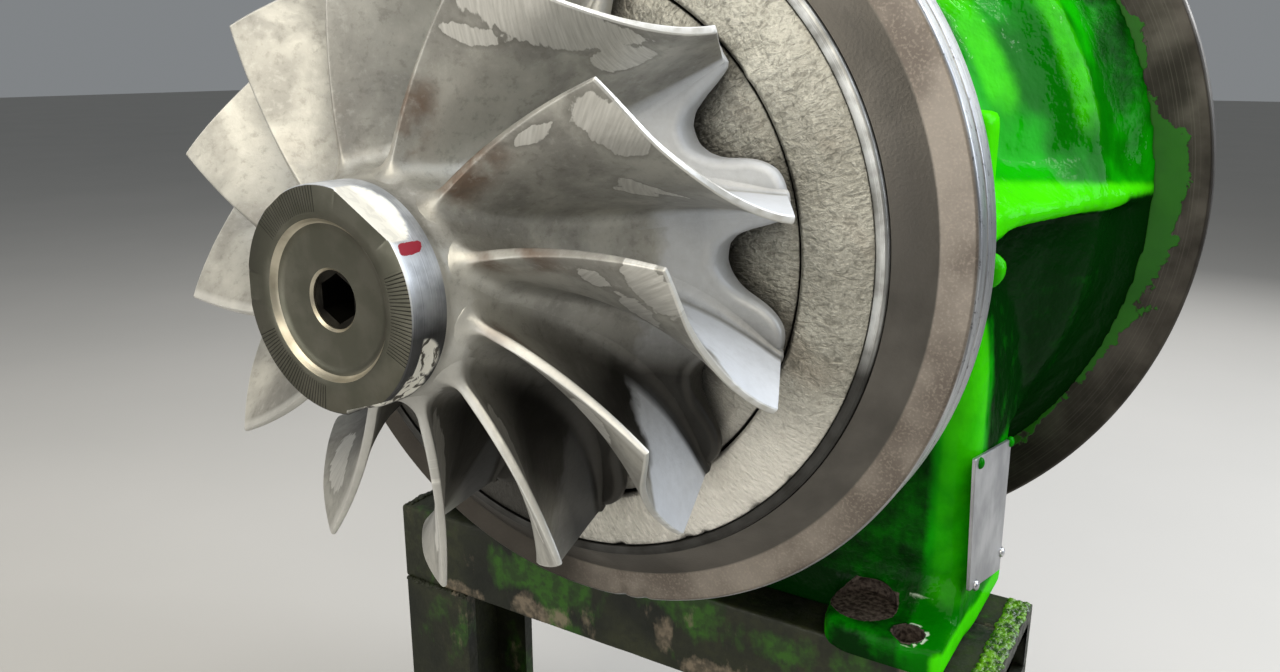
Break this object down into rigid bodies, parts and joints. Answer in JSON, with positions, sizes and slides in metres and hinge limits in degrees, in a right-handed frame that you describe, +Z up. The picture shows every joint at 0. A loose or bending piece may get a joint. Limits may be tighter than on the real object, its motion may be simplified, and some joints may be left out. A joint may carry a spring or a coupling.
{
  "type": "turbocharger core",
  "caption": "Turbocharger core with a bladed turbine wheel on its shaft, heat shield, mounting flanges and bearing housing on a pedestal, held by a stand of angle iron.",
  "frame": {"origin": "centre of the bounding box in plan, at the height of the stand's feet", "axes": "+Z up; the rotor lies along Y, with the wheel's nose at the front towards -Y; +X is the side with the nameplate"},
  "size_m": [0.484, 0.47, 0.672],
  "materials": {
    "cast_alloy": "investment-cast heat-resisting steel, blasted and hand-ground",
    "machined_steel": "turned steel",
    "rough_cast": "rough sand-cast surface, sooty beige-grey",
    "tinted_cast": "cast iron with a brown heat tint and a turned rim",
    "bare_flange": "turned dark bare iron with green overspray",
    "green_enamel": "glossy green enamel on cast iron",
    "worn_green": "worn olive-green paint on steel angle",
    "plate_metal": "bare grey plate",
    "bearing_bronze": "turned bronze"
  },
  "bodies": {
    "rotor": {"turbine_wheel": "cast_alloy", "rotor_shaft": "machined_steel", "seal_sleeve": "machined_steel"},
    "core": {"heat_shield": "rough_cast", "nozzle_back_ring": "rough_cast", "locating_ring": "machined_steel", "turbine_flange": "tinted_cast", "bearing_housing": "green_enamel", "rear_flange": "bare_flange", "seal_plate": "machined_steel", "journal_bearing_front": "bearing_bronze", "journal_bearing_rear": "bearing_bronze", "nameplate": "plate_metal", "oil_inlet_plug": "machined_steel", "front_beam": "worn_green", "rear_beam": "worn_green", "front_leg_left": "worn_green", "front_leg_right": "worn_green", "rear_leg_left": "worn_green", "rear_leg_right": "worn_green"}
  },
  "joints": [
    {"name": "rotor_spin", "type": "hinge", "parent": "core", "child": "rotor", "pos_m": [0, 0, 0.43], "axis": [0, 1, 0], "continuous": true}
  ]
}
